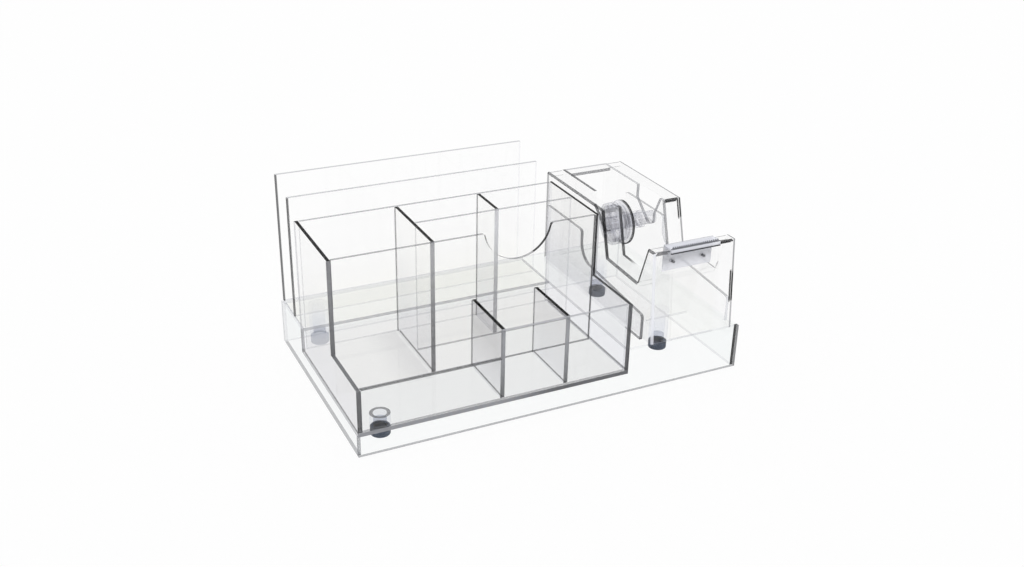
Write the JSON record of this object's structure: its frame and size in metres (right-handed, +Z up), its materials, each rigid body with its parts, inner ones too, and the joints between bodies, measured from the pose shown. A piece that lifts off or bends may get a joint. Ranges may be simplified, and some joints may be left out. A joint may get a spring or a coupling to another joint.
{
  "type": "desk organizer with tape dispenser",
  "caption": "Clear desk organizer: open compartments and letter slots on a raised base, with a lift-out tape dispenser block holding a spinning hub and a toothed cutter.",
  "frame": {"origin": "on the table, under the middle of the base's outline", "axes": "+X along the front from left to right, +Y from front to back, +Z up"},
  "size_m": [0.2322, 0.1366, 0.107],
  "materials": {
    "clear_plastic": "clear, polished",
    "dark_rubber": "matte",
    "cutter_plastic": "pale, translucent",
    "pin_steel": "dark polished",
    "hub_plastic": "smoky, translucent",
    "axle_plastic": "clear, polished"
  },
  "bodies": {
    "base": {"skirt_front": "clear_plastic", "skirt_left": "clear_plastic", "skirt_right": "clear_plastic", "skirt_back": "clear_plastic", "side_deck": "clear_plastic", "rear_deck": "clear_plastic", "foot_bosses": "clear_plastic", "rubber_feet": "dark_rubber", "compartment_floor": "clear_plastic", "left_wall": "clear_plastic", "right_wall": "clear_plastic", "front_wall": "clear_plastic", "tall_front_wall": "clear_plastic", "back_wall": "clear_plastic", "long_partition": "clear_plastic", "mid_divider": "clear_plastic", "rear_partition": "clear_plastic", "low_partition_left": "clear_plastic", "low_partition_right": "clear_plastic", "letter_panel_back": "clear_plastic", "letter_panel_middle": "clear_plastic", "cradle_cheek_left": "clear_plastic", "cradle_cheek_right": "clear_plastic"},
    "dispenser": {"left_outer_skin": "clear_plastic", "left_inner_skin": "clear_plastic", "left_rim": "clear_plastic", "right_outer_skin": "clear_plastic", "right_inner_skin": "clear_plastic", "right_rim": "clear_plastic", "snout_shell": "clear_plastic", "housing_back": "clear_plastic", "top_bridge": "clear_plastic", "cutter_blade": "cutter_plastic", "blade_pins": "pin_steel"},
    "axle": {"hub_axle": "axle_plastic"},
    "hub": {"tape_hub": "hub_plastic"}
  },
  "joints": [
    {"name": "dispenser_lift", "type": "slide", "parent": "base", "child": "dispenser", "axis": [0, 0, 1], "range_m": [0, 0.06]},
    {"name": "axle_lift", "type": "slide", "parent": "dispenser", "child": "axle", "axis": [0, 0, 1], "range_m": [0, 0.032]},
    {"name": "hub_spin", "type": "hinge", "parent": "axle", "child": "hub", "pos_m": [0.0799, 0.0058, 0.0701], "axis": [1, 0, 0], "continuous": true}
  ]
}
